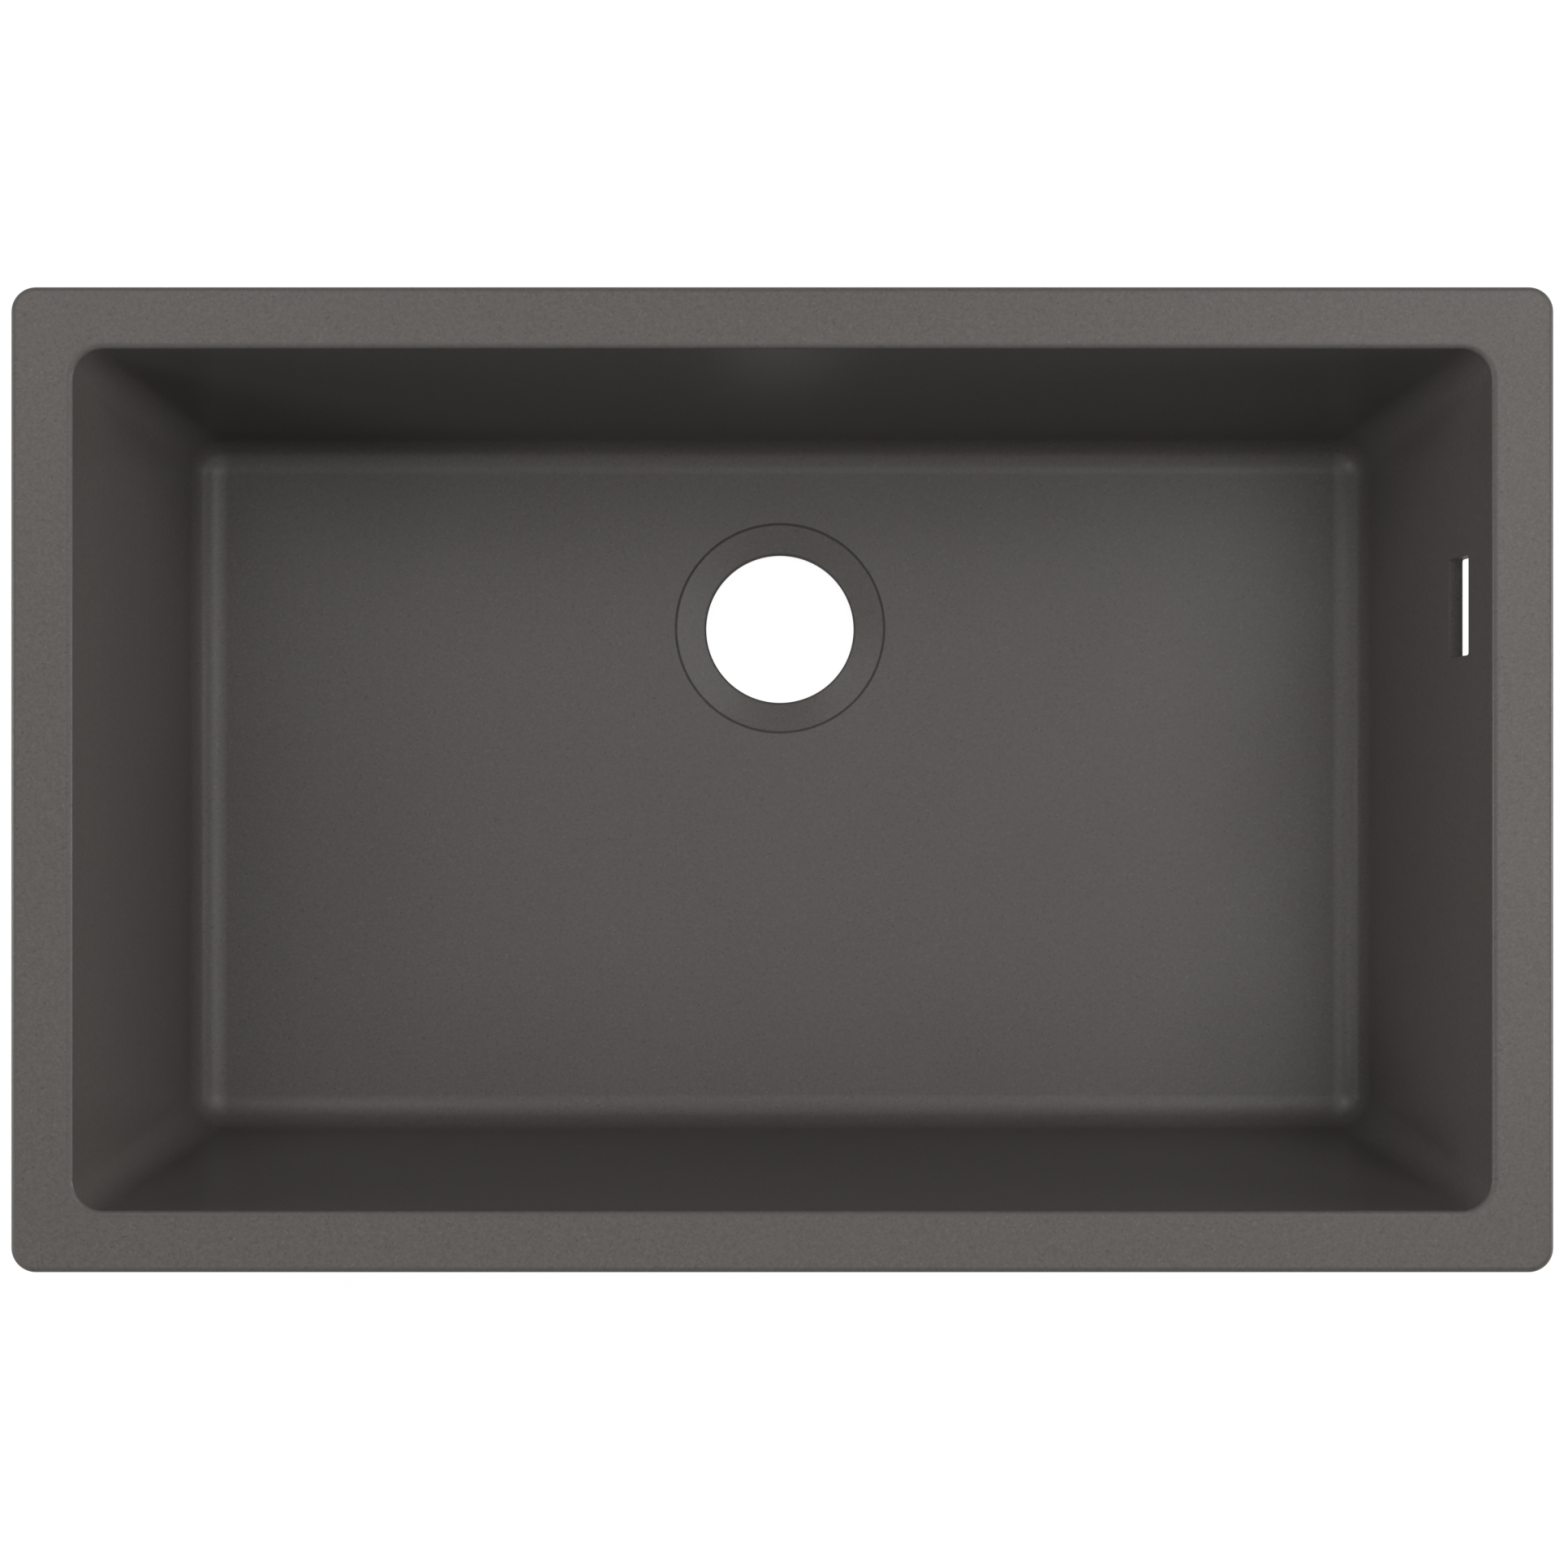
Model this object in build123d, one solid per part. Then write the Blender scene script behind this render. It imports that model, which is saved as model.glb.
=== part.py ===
"""Undermount kitchen sink: a cast composite bowl with a flat rim, a rear waste hole and an overflow slot,
and eight swivel lugs under the rim that hold it up to a worktop.

Millimetres. The origin is the centre of the rim's top face, +X to the right, +Y to the back, +Z up.
"""

from build123d import *
import os
from math import cos, radians, sin, tan

# Rim: the flat flange that is pressed up against the underside of the worktop.
RIM_LENGTH = 720.0
RIM_WIDTH = 460.0
RIM_THICKNESS = 12.0
RIM_CORNER = 11.5
RIM_TOP_ROUND = 2.5
RIM_UNDER_ROUND = 1.5

# Bowl: sizes of the opening are at the rim's top face, and the walls lean in by the draft.
BOWL_LENGTH = 662.4
BOWL_WIDTH = 402.4
BOWL_DEPTH = 190.0
WALL_DRAFT = 5.9
MOUTH_CORNER = 14.5
MOUTH_ROUND = 2.5
FLOOR_CORNER = 18.5
FLOOR_ROUND = 17.0
WALL_THICKNESS = 9.0
FLOOR_THICKNESS = 12.0
UNDER_RIM_FILLET = 3.5

# Waste seat: a shallow leaning step in the floor, then a cone that falls to the hole.
WASTE_Y = 83.7
WASTE_SEAT_RADIUS = 56.4
WASTE_STEP = 1.7
WASTE_STEP_LEAN = 1.2
WASTE_CONE_DROP = 3.8
WASTE_HOLE_RADIUS = 39.7
WASTE_EDGE_ROUND = 0.5
WASTE_LIP_ROUND = 1.5

# Overflow: a slot driven level through the right wall, and a flat seat for its pipe, sunk into the outside at right
# angles to the leaning wall. The wall's thickness there is measured level.
OVERFLOW_Y = 83.9
OVERFLOW_WIDTH = 47.8
OVERFLOW_TOP = 31.5
OVERFLOW_BOTTOM = 57.6
OVERFLOW_CORNER = 1.5
OVERFLOW_WALL = 6.7
OVERFLOW_SEAT_WIDTH = 72.0
OVERFLOW_SEAT_TOP = 21.0
OVERFLOW_SEAT_BOTTOM = 73.0
OVERFLOW_SEAT_CORNER = 8.0

# Stations of the fixing lugs, and the place of each pivot in from the rim's outer edge.
LUG_SPACING = 240.0
PIVOT_INSET = 9.0

# Threaded insert: a blind hexagonal nut with a groove that keys it into the casting.
INSERT_ACROSS_FLATS = 8.0
INSERT_DEPTH = 8.0
INSERT_PROUD = 0.3
INSERT_GROOVE_RADIUS = 3.5
INSERT_GROOVE_LENGTH = 2.0
INSERT_GROOVE_START = 3.0
INSERT_BORE_RADIUS = 2.5
INSERT_BORE_DEPTH = 7.0

# Lug: a flat pressing with round ends.
LUG_THICKNESS = 2.0
LUG_WIDTH = 14.0
LUG_REACH = 38.0
LUG_EDGE_ROUND = 0.3
ANCHOR_HOLE_RADIUS = 3.25
BEAD_LENGTH = 18.0
BEAD_WIDTH = 4.5
BEAD_HEIGHT = 0.7
BEAD_EDGE_ROUND = 0.55
RUNNING_GAP = 0.05

# Disc spring between the lug and the screw's head.
SPRING_INNER_RADIUS = 3.15
SPRING_OUTER_RADIUS = 6.0
SPRING_THICKNESS = 0.45
SPRING_DISH = 0.2
SPRING_GAP = 0.03

# Shoulder screw.
SHOULDER_RADIUS = 3.0
PIVOT_CLEARANCE = 0.05
THREAD_RADIUS = 2.45
THREAD_LENGTH = 6.5
HEAD_RADIUS = 5.0
HEAD_HEIGHT = 3.0
HEAD_RIM = 0.8
HEAD_CROWN_RADIUS = 2.4
HEAD_DOME = 0.45
SOCKET_ACROSS_FLATS = 3.0
SOCKET_DEPTH = 1.6

# Extra length that carries a cutting tool past the face it cuts through.
OVERCUT = 5.0

# Heights and radii that follow from the sizes above.
floor_z = -BOWL_DEPTH
base_z = floor_z - FLOOR_THICKNESS
seat_z = floor_z - WASTE_STEP
cone_radius = WASTE_SEAT_RADIUS - WASTE_STEP_LEAN
lip_z = seat_z - WASTE_CONE_DROP
insert_face_z = -RIM_THICKNESS - INSERT_PROUD
lug_top_z = insert_face_z - RUNNING_GAP
lug_bottom_z = lug_top_z - LUG_THICKNESS
spring_height = SPRING_THICKNESS + SPRING_DISH
head_face_z = lug_bottom_z - spring_height - 2 * SPRING_GAP


def rounded_block(length, width, corner, top, bottom):
    """An upright block with rounded corners between two heights."""
    outline = Plane.XY.offset(bottom) * RectangleRounded(length, width, corner)
    return extrude(outline, top - bottom)


def drafted_block(grow, depth):
    """A block of the bowl's outline, grown on every side, that hangs from the rim's top face and narrows
    downwards by the wall draft."""
    inset = depth * tan(radians(WALL_DRAFT))
    length = BOWL_LENGTH + 2 * grow
    width = BOWL_WIDTH + 2 * grow
    top = RectangleRounded(length, width, MOUTH_CORNER + grow)
    bottom = RectangleRounded(length - 2 * inset, width - 2 * inset, FLOOR_CORNER + grow)
    return loft([top, Plane.XY.offset(-depth) * bottom], ruled=True)


def edges_at(solid, height):
    """The solid's edges that lie flat at one height."""
    return solid.edges().filter_by_position(Axis.Z, height, height)


def circles_at(solid, height, radius):
    """The solid's round edges of one radius at one height."""
    return [e for e in edges_at(solid, height).filter_by(GeomType.CIRCLE) if abs(e.radius - radius) < 0.01]


def inside_rim_edge(edge):
    """Whether an edge belongs to the bowl rather than to the rim's outer outline."""
    middle = edge.position_at(0.5)
    return abs(middle.X) < RIM_LENGTH / 2 - PIVOT_INSET and abs(middle.Y) < RIM_WIDTH / 2 - PIVOT_INSET


def waste_cutter():
    """The space of the waste seat: step, cone and hole, turned about the hole's axis."""
    profile = Polyline(
        (0, floor_z + OVERCUT),
        (WASTE_SEAT_RADIUS, floor_z + OVERCUT),
        (WASTE_SEAT_RADIUS, floor_z),
        (cone_radius, seat_z),
        (WASTE_HOLE_RADIUS, lip_z),
        (WASTE_HOLE_RADIUS, base_z - OVERCUT),
        (0, base_z - OVERCUT),
        close=True,
    )
    return Pos(0, WASTE_Y, 0) * revolve(Plane.XZ * make_face(profile), Axis.Z)


def slot_cutter():
    """The overflow's slot, driven level through the right wall, from inside the bowl to clear of the skin."""
    middle_z = -(OVERFLOW_TOP + OVERFLOW_BOTTOM) / 2
    start_x = BOWL_LENGTH / 2 - OVERFLOW_BOTTOM * tan(radians(WALL_DRAFT)) - OVERCUT
    end_x = BOWL_LENGTH / 2 + WALL_THICKNESS + OVERCUT
    start = Plane((start_x, OVERFLOW_Y, middle_z), x_dir=(0, 1, 0), z_dir=(1, 0, 0))
    outline = RectangleRounded(OVERFLOW_WIDTH, OVERFLOW_BOTTOM - OVERFLOW_TOP, OVERFLOW_CORNER)
    return extrude(start * outline, end_x - start_x)


def seat_cutter():
    """The overflow's seat: a shallow recess with its floor parallel to the leaning wall and its sides square to it."""
    draft = radians(WALL_DRAFT)
    middle_depth = (OVERFLOW_SEAT_TOP + OVERFLOW_SEAT_BOTTOM) / 2
    face_x = BOWL_LENGTH / 2 + OVERFLOW_WALL - middle_depth * tan(draft)
    face = Plane((face_x, OVERFLOW_Y, -middle_depth), x_dir=(0, 1, 0), z_dir=(cos(draft), 0, -sin(draft)))
    height = (OVERFLOW_SEAT_BOTTOM - OVERFLOW_SEAT_TOP) / cos(draft)
    outline = RectangleRounded(OVERFLOW_SEAT_WIDTH, height, OVERFLOW_SEAT_CORNER)
    return extrude(face * outline, WALL_THICKNESS)


def make_insert():
    """One insert on the Z axis: a hexagonal bar with a turned groove and a blind hole."""
    top = insert_face_z + INSERT_PROUD + INSERT_DEPTH
    hexagon = RegularPolygon(INSERT_ACROSS_FLATS / 2, 6, major_radius=False)
    bar = extrude(Plane.XY.offset(insert_face_z) * hexagon, top - insert_face_z)
    groove_z = -RIM_THICKNESS + INSERT_GROOVE_START + INSERT_GROOVE_LENGTH / 2
    ring = Cylinder(INSERT_ACROSS_FLATS, INSERT_GROOVE_LENGTH)
    ring -= Cylinder(INSERT_GROOVE_RADIUS, INSERT_GROOVE_LENGTH)
    solid_bar = bar - Pos(0, 0, groove_z) * ring
    hole = Pos(0, 0, insert_face_z + INSERT_BORE_DEPTH / 2) * Cylinder(INSERT_BORE_RADIUS, INSERT_BORE_DEPTH)
    return solid_bar - hole, solid_bar


def make_screw():
    """One shoulder screw on the Z axis, head down: thread, shoulder, and a domed head with a hexagon socket."""
    thread = Pos(0, 0, insert_face_z + THREAD_LENGTH / 2) * Cylinder(THREAD_RADIUS, THREAD_LENGTH)
    shoulder_length = insert_face_z - head_face_z
    shoulder = Pos(0, 0, insert_face_z - shoulder_length / 2) * Cylinder(SHOULDER_RADIUS, shoulder_length)
    crown_z = head_face_z - HEAD_HEIGHT
    rim_z = head_face_z - HEAD_RIM
    crown = (HEAD_CROWN_RADIUS, crown_z)
    rim = (HEAD_RADIUS, rim_z)
    outline = Polyline(crown, (0, crown_z), (0, head_face_z), (HEAD_RADIUS, head_face_z), rim)
    dome = SagittaArc(rim, crown, HEAD_DOME)
    head = revolve(Plane.XZ * make_face([*outline.edges(), dome]), Axis.Z)
    hexagon = RegularPolygon(SOCKET_ACROSS_FLATS / 2, 6, major_radius=False)
    socket = extrude(Plane.XY.offset(crown_z) * hexagon, SOCKET_DEPTH)
    return thread + shoulder + head - socket


def make_disc_spring():
    """One disc spring on the Z axis: a thin dished washer, its wide edge up against the lug."""
    wide_top = lug_bottom_z - SPRING_GAP
    narrow_top = wide_top - SPRING_DISH
    profile = Polyline(
        (SPRING_INNER_RADIUS, narrow_top),
        (SPRING_OUTER_RADIUS, wide_top),
        (SPRING_OUTER_RADIUS, wide_top - SPRING_THICKNESS),
        (SPRING_INNER_RADIUS, narrow_top - SPRING_THICKNESS),
        close=True,
    )
    return revolve(Plane.XZ * make_face(profile), Axis.Z)


def make_lug():
    """One lug with its pivot on the Z axis, lying along +X."""
    middle = Pos(LUG_REACH / 2, 0, 0)
    blank = middle * SlotOverall(LUG_REACH + LUG_WIDTH, LUG_WIDTH)
    plate = extrude(Plane.XY.offset(lug_bottom_z) * blank, LUG_THICKNESS)
    plate = fillet(edges_at(plate, lug_bottom_z) + edges_at(plate, lug_top_z), LUG_EDGE_ROUND)
    ridge_outline = middle * SlotOverall(BEAD_LENGTH, BEAD_WIDTH)
    ridge = extrude(Plane.XY.offset(lug_bottom_z - BEAD_HEIGHT) * ridge_outline, BEAD_HEIGHT)
    ridge = fillet(edges_at(ridge, lug_bottom_z - BEAD_HEIGHT), BEAD_EDGE_ROUND)
    groove_outline = middle * SlotOverall(BEAD_LENGTH - 2 * BEAD_HEIGHT, BEAD_WIDTH - 2 * BEAD_HEIGHT)
    groove = extrude(Plane.XY.offset(lug_top_z - BEAD_HEIGHT) * groove_outline, BEAD_HEIGHT)
    through = Pos(0, 0, (lug_top_z + lug_bottom_z) / 2)
    pivot_hole = through * Cylinder(SHOULDER_RADIUS + PIVOT_CLEARANCE, 2 * LUG_THICKNESS)
    anchor_hole = through * Pos(LUG_REACH, 0, 0) * Cylinder(ANCHOR_HOLE_RADIUS, 2 * LUG_THICKNESS)
    return plate + ridge - groove - pivot_hole - anchor_hole


def make_bowl(insert_places, insert_blank):
    """The casting: rim and outer skin, less the bowl's cavity, the waste, the overflow and the insert pockets."""
    rim = rounded_block(RIM_LENGTH, RIM_WIDTH, RIM_CORNER, 0, -RIM_THICKNESS)
    rim = fillet(edges_at(rim, -RIM_THICKNESS), RIM_UNDER_ROUND)
    rim = fillet(edges_at(rim, 0), RIM_TOP_ROUND)

    skin = drafted_block(WALL_THICKNESS, BOWL_DEPTH + FLOOR_THICKNESS)
    skin = fillet(edges_at(skin, base_z), FLOOR_ROUND + WALL_THICKNESS)
    body = rim + skin
    joint = [e for e in edges_at(body, -RIM_THICKNESS) if inside_rim_edge(e)]
    body = fillet(joint, UNDER_RIM_FILLET)

    cavity = drafted_block(0, BOWL_DEPTH)
    cavity = fillet(edges_at(cavity, floor_z), FLOOR_ROUND)
    body -= cavity
    mouth = [e for e in edges_at(body, 0) if inside_rim_edge(e)]
    body = fillet(mouth, MOUTH_ROUND)

    body -= waste_cutter()
    body = fillet(circles_at(body, floor_z, WASTE_SEAT_RADIUS), WASTE_EDGE_ROUND)
    body = fillet(circles_at(body, seat_z, cone_radius), WASTE_EDGE_ROUND)
    body = fillet(circles_at(body, lip_z, WASTE_HOLE_RADIUS), WASTE_LIP_ROUND)

    body -= slot_cutter()
    body -= seat_cutter()
    for place in insert_places:
        body -= place * insert_blank
    return body


def lug_stations():
    """Each station's name, pivot and outward direction in degrees, going round the rim clockwise from the back."""
    end_x = RIM_LENGTH / 2 - PIVOT_INSET
    side_y = RIM_WIDTH / 2 - PIVOT_INSET
    return {
        "back_left": (-LUG_SPACING, side_y, 90),
        "back_middle": (0, side_y, 90),
        "back_right": (LUG_SPACING, side_y, 90),
        "right": (end_x, 0, 0),
        "front_right": (LUG_SPACING, -side_y, -90),
        "front_middle": (0, -side_y, -90),
        "front_left": (-LUG_SPACING, -side_y, -90),
        "left": (-end_x, 0, 180),
    }


os.makedirs("parts", exist_ok=True)
insert, insert_blank = make_insert()
fixings = {
    "insert": insert,
    "screw": make_screw(),
    "disc_spring": make_disc_spring(),
    "lug": make_lug(),
}

# A parked lug lies along the rim's edge, a quarter turn clockwise from the way out.
places = {}
for station, (x, y, outward) in lug_stations().items():
    places[station] = Pos(x, y, 0) * Rot(0, 0, outward - 90)

export_step(make_bowl(places.values(), insert_blank), "parts/sink_bowl.step")
for station, place in places.items():
    for piece, shape in fixings.items():
        export_step(place * shape, f"parts/{piece}_{station}.step")
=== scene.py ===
"""An undermount kitchen sink: a deep bowl of stone-grey composite, hung by swivel lugs under its flat rim.

Metres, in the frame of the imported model: the origin is the centre of the rim's top face, +X to the right, +Y
to the back, +Z up. Sizes that a maker reads off a drawing are in millimetres, multiplied by MM.
"""

import math

import bpy
import numpy as np
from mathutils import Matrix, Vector


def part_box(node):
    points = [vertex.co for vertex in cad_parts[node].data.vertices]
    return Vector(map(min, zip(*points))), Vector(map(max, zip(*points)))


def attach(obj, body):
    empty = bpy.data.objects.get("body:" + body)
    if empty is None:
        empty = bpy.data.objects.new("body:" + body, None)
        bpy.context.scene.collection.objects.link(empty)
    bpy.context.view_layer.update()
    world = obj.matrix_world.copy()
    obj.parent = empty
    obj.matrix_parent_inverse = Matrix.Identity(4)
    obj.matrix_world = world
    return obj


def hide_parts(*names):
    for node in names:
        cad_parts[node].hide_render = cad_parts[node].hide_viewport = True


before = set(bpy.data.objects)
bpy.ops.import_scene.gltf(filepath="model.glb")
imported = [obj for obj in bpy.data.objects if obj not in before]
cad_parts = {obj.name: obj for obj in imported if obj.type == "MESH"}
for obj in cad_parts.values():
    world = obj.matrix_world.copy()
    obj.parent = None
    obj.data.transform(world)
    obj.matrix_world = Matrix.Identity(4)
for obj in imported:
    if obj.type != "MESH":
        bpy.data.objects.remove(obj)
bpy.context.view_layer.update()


# ---- Sink bowl ----
# One casting of quartz sand in acrylic resin, moulded in a single shot: flat rim, four leaning walls, rounded
# floor with a seat for the waste, and an overflow slot. Its back and underside stay as the mould leaves them.

MM = 0.001
rim_half_length, rim_half_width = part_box("sink_bowl")[1].x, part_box("sink_bowl")[1].y
base_depth = -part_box("sink_bowl")[0].z
RIM_THICKNESS = 12 * MM
RIM_CORNER = 11.5 * MM
RIM_TOP_ROUND = 2.5 * MM
RIM_UNDER_ROUND = 1.5 * MM
MOUTH_HALF_LENGTH = 331.2 * MM
MOUTH_HALF_WIDTH = 201.2 * MM
MOUTH_CORNER = 14.5 * MM
MOUTH_ROUND = 2.5 * MM
WALL_DRAFT = math.radians(5.9)
WALL_THICKNESS = 9 * MM
BOWL_DEPTH = 190 * MM
FLOOR_CORNER = 18.5 * MM
FLOOR_ROUND = 17 * MM
UNDER_RIM_FILLET = 3.5 * MM

WASTE_CENTRE = np.array([0.0, 83.7 * MM])
WASTE_SEAT_RADIUS = 56.4 * MM
WASTE_STEP = 1.7 * MM
WASTE_STEP_LEAN = 1.2 * MM
WASTE_CONE_DROP = 3.8 * MM
WASTE_HOLE_RADIUS = 39.7 * MM
WASTE_EDGE_ROUND = 0.5 * MM
WASTE_LIP_ROUND = 1.5 * MM
WASTE_BACK_EDGE_ROUND = 0.4 * MM
WASTE_BASE_REACH = 3 * MM
WASTE_FLOOR_REACH = 2 * MM

OVERFLOW_Y = 83.9 * MM
OVERFLOW_DEPTH = 44.55 * MM
OVERFLOW_HALF_SIZE = np.array([23.9, 13.05]) * MM
OVERFLOW_CORNER = 1.5 * MM
OVERFLOW_EDGE_ROUND = 0.05 * MM
OVERFLOW_WALL = 6.7 * MM
SEAT_DEPTH = 47 * MM
SEAT_HALF_SIZE = np.array([36.0, 26.0 / math.cos(WALL_DRAFT)]) * MM
SEAT_CORNER = 8 * MM
SEAT_EDGE_ROUND = 0.3 * MM

INSERT_APOTHEM = 4 * MM
INSERT_DEPTH = 8 * MM
PIVOT_INSET = 9 * MM
LUG_SPACING = 240 * MM

# Spacing of the grid lines that the casting's surface is worked out on. A window is a block of cells left out
# for the overflow or for an insert's pocket, and its sizes are half sizes.
LINE_STEP = 7 * MM
SIDE_REACH = np.array([160.0, 290.0, 160.0, 290.0]) * MM
CORNER_STEPS = 16
WINDOW_CORNER_SHARE = 0.16
WINDOW_CORNER_STEPS = 4
OVERFLOW_WINDOW = np.array([40.0, 20.0]) * MM
OVERFLOW_CELLS = (12, 6)
SEAT_WINDOW_HEIGHT = 26.8 * MM
POCKET_WINDOW = np.array([6.6, 5.6]) * MM
POCKET_CELLS = 6

# Steps of the casting's rounds, places of its other rows, and how near a row is kept to a round's ends so
# that the shading turns within the round alone.
RIM_EDGE_STEPS = 8
MOUTH_STEPS = 7
FLOOR_ROUND_STEPS = 14
UNDER_RIM_STEPS = 6
BASE_ROUND_STEPS = 12
WASTE_EDGE_STEPS = 5
OVERFLOW_EDGE_STEPS = 3
FLAT_SHARES = [0.15, 0.3, 0.5, 0.7, 0.85]
RIM_TOP_SHARES = [0.02, 0.35, 0.65, 0.98]
UNDERSIDE_END_SHARES = (0.03, 0.97)
WALL_DEPTHS = np.linspace(160 * MM, 75 * MM, 6)
WALL_HEAD_DEPTH = 12 * MM
SKIN_DEPTHS = np.linspace(85 * MM, 165 * MM, 5)
CLOSE = 0.4 * MM
SLOT_CLOSE = 0.08 * MM
ARC_CLOSE_SHARE = 0.4
SHARP_ANGLE = math.radians(50)


def window_lines(straight_cells):
    """Grid lines from -1 to 1 across a window, close together over the corner share at each end."""
    inner = 1 - WINDOW_CORNER_SHARE
    corner = np.linspace(inner, 1, WINDOW_CORNER_STEPS + 1)
    straight = np.linspace(-inner, inner, straight_cells + 1)[1:-1]
    return np.concatenate([-corner[::-1], straight, corner])


def side_lines(reach, clusters):
    """Places of the grid lines along one straight side, which ends at plus and minus its reach: the given
    clusters, and the gaps beside them divided evenly into cells of at most one line step."""
    clusters = [np.array([-reach]), *clusters, np.array([reach])]
    lines = [clusters[0]]
    for before, after in zip(clusters, clusters[1:]):
        cells = math.ceil((after[0] - before[-1]) / LINE_STEP)
        lines += [np.linspace(before[-1], after[0], cells + 1)[1:-1], after]
    return np.concatenate(lines)


wide_lines, tall_lines = (window_lines(cells) for cells in OVERFLOW_CELLS)
pocket_lines = np.linspace(-1, 1, POCKET_CELLS + 1)
pocket_cluster = pocket_lines * POCKET_WINDOW[0]
overflow_cluster = OVERFLOW_Y + wide_lines * OVERFLOW_WINDOW[0]
long_side = [pocket_cluster - LUG_SPACING, pocket_cluster, pocket_cluster + LUG_SPACING]
side_clusters = [[pocket_cluster, overflow_cluster], long_side, [pocket_cluster], long_side]

# Each point of a row round the casting, anticlockwise from the right side's front end, keeps its outward
# direction, the corner it leans on (one coordinate on a straight side) and its place along a straight side.
outward, corner_sign, along_side, side_starts, side_ends = [], [], [], [], []
for quarter in range(4):
    facing = np.round([math.cos(quarter * math.pi / 2), math.sin(quarter * math.pi / 2)])
    ahead = np.array([-facing[1], facing[0]])
    lines = side_lines(SIDE_REACH[quarter], side_clusters[quarter])
    turn = quarter * math.pi / 2 + np.linspace(0, math.pi / 2, CORNER_STEPS + 1)
    side_starts.append(sum(len(part) for part in outward))
    side_ends.append(side_starts[-1] + len(lines))
    outward += [np.tile(facing, (len(lines), 1)), np.stack([np.cos(turn), np.sin(turn)], -1)]
    corner_sign += [np.tile(facing, (len(lines), 1)), np.tile(facing + ahead, (len(turn), 1))]
    along_side += [np.outer(lines, ahead), np.zeros((len(turn), 2))]
outward, corner_sign, along_side = (np.concatenate(x) for x in (outward, corner_sign, along_side))
POINTS_ROUND = len(outward)


def outline(half_length, half_width, radius):
    """A rounded rectangle at every point of a row: the corner's centre, or the place along the straight side,
    plus the corner radius times the outward direction. Sizes are numbers or arrays that broadcast over it."""
    half_length, half_width, radius = np.broadcast_arrays(half_length, half_width, radius)
    centre = np.stack([half_length - radius, half_width - radius], -1)
    return corner_sign * centre + along_side + radius[..., None] * outward


def drafted_wall(grow, top_corner, bottom_corner, height):
    """A wall that leans in with depth: its outline as a function of depth, where the half sizes shrink by
    the depth times the draft's tangent and the corner radius changes evenly, and the lean angle at every
    point of a row."""
    fall = math.tan(WALL_DRAFT)
    growth = (bottom_corner - top_corner) / height

    def at_depth(depth):
        depth = np.broadcast_to(depth, np.broadcast_shapes(np.shape(depth), (POINTS_ROUND,)))
        half_length = MOUTH_HALF_LENGTH + grow - fall * depth
        half_width = MOUTH_HALF_WIDTH + grow - fall * depth
        return outline(half_length, half_width, top_corner + growth * depth)

    squareness = (corner_sign * outward).sum(-1)
    return at_depth, np.arctan((fall + growth) * squareness - growth)


def at_height(flat_points, height):
    """Rows of flat points lifted to a height, which is a number or one value for each point."""
    height = np.broadcast_to(height, flat_points.shape[:-1])
    return np.concatenate([flat_points, height[..., None]], -1)


def foot_round(wall, flat_depth, radius, steps):
    """The round between a wall and the flat at its foot, wall first. A ball of that radius touches both: its
    centre is one radius above the flat and one radius in from the wall, and the surface turns from the lean
    angle to straight down around it."""
    at_depth, lean = wall
    contact = flat_depth - radius + radius * np.sin(lean)
    centre = at_depth(contact) - (radius * np.cos(lean))[:, None] * outward
    turn = lean + np.linspace(0, 1, steps + 1)[:, None] * (math.pi / 2 - lean)
    points = centre + radius * np.cos(turn)[..., None] * outward
    return at_height(points, radius - flat_depth - radius * np.sin(turn)), contact


def head_round(wall, flat_depth, radius, steps):
    """The round between a wall and the flat at its head, wall first: the foot round turned over, with the
    ball's centre one radius below the flat and one radius outward of the wall."""
    at_depth, lean = wall
    contact = flat_depth + radius - radius * np.sin(lean)
    centre = at_depth(contact) + (radius * np.cos(lean))[:, None] * outward
    turn = lean + np.linspace(0, 1, steps + 1)[:, None] * (math.pi / 2 - lean)
    points = centre - radius * np.cos(turn)[..., None] * outward
    return at_height(points, radius * np.sin(turn) - flat_depth - radius), contact


def wall_rows(wall, depths):
    """Rows of a wall at several depths, each one number or one value for each point round."""
    depths = np.stack([np.broadcast_to(depth, POINTS_ROUND) for depth in depths])
    return at_height(wall[0](depths), -depths)


def rim_rows(inset, height):
    """Rows of the rim's outer outline, moved in by an inset, at a height."""
    inset = np.asarray(inset)[:, None]
    points = outline(rim_half_length - inset, rim_half_width - inset, RIM_CORNER - inset)
    return at_height(points, np.asarray(height)[:, None])


def between(first, last, shares):
    """Rows on the straight lines from one row to another, at the given shares of the way."""
    shares = np.asarray(shares)[:, None, None]
    return first + shares * (last - first)


def rounded_profile(corners, radii, steps):
    """A profile with each of its inner corners turned by an arc. The arc starts one tangent length before
    the corner, which is the radius times the tangent of half the turn, and has a close point at each end."""
    corners = np.asarray(corners)
    points = [corners[:1]]
    for before, here, after, radius in zip(corners, corners[1:], corners[2:], radii):
        towards = (here - before) / np.linalg.norm(here - before)
        away = (after - here) / np.linalg.norm(after - here)
        swing = math.atan2(towards[0] * away[1] - towards[1] * away[0], towards @ away)
        side = np.array([-towards[1], towards[0]]) * np.sign(swing)
        start = here - towards * radius * math.tan(abs(swing) / 2)
        turn = np.linspace(0, abs(swing), steps + 1)[:, None]
        arc = start + radius * (np.sin(turn) * towards + (1 - np.cos(turn)) * side)
        close = radius * ARC_CLOSE_SHARE
        points += [arc[:1] - towards * close, arc, arc[-1:] + away * close]
    return np.concatenate([*points, corners[-1:]])


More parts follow.
